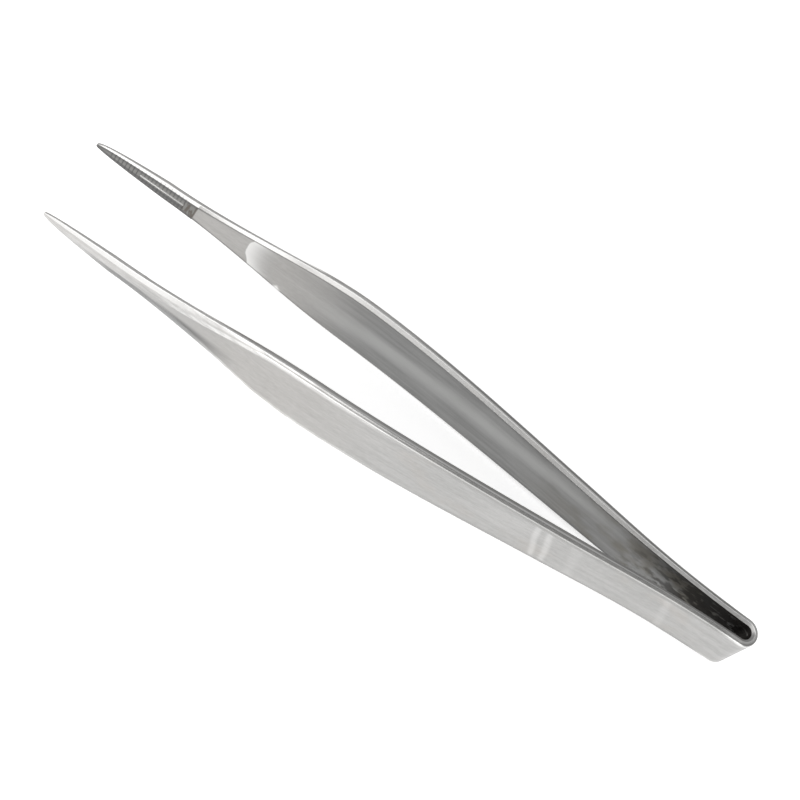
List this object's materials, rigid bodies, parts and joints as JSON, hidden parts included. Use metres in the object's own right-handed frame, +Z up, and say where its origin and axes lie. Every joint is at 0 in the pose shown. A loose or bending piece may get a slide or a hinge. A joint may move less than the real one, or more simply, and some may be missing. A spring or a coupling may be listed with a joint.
{
  "type": "precision tweezers",
  "caption": "Fine-point spring tweezers folded from one steel strip, with bowed arms, needle points and serrated jaw faces.",
  "frame": {"origin": "middle of the bounding box in plan, at the level of the arms' lower edges", "axes": "+X from the heel to the points, +Y across the gap towards the left arm, +Z up along the strip's width; the tool lies on its edges"},
  "size_m": [0.115, 0.0166, 0.0122],
  "materials": {
    "heel_steel": "satin outside, dark untouched scale inside the fold",
    "arm_steel": "satin, brushed along the strip, with polished bevels and ground jaw faces"
  },
  "bodies": {
    "heel_bow": {"heel_bow": "heel_steel"},
    "left_arm": {"left_arm": "arm_steel"},
    "right_arm": {"right_arm": "arm_steel"}
  },
  "joints": [
    {"name": "left_flexure", "type": "hinge", "parent": "heel_bow", "child": "left_arm", "pos_m": [-0.046, 0.00153, 0.0061], "axis": [0, 0, -1], "range_deg": [0, 3.63], "stiffness_Nm_per_rad": 3.2},
    {"name": "right_flexure", "type": "hinge", "parent": "heel_bow", "child": "right_arm", "pos_m": [-0.046, -0.00153, 0.0061], "axis": [0, 0, 1], "range_deg": [0, 3.63], "stiffness_Nm_per_rad": 3.2}
  ]
}
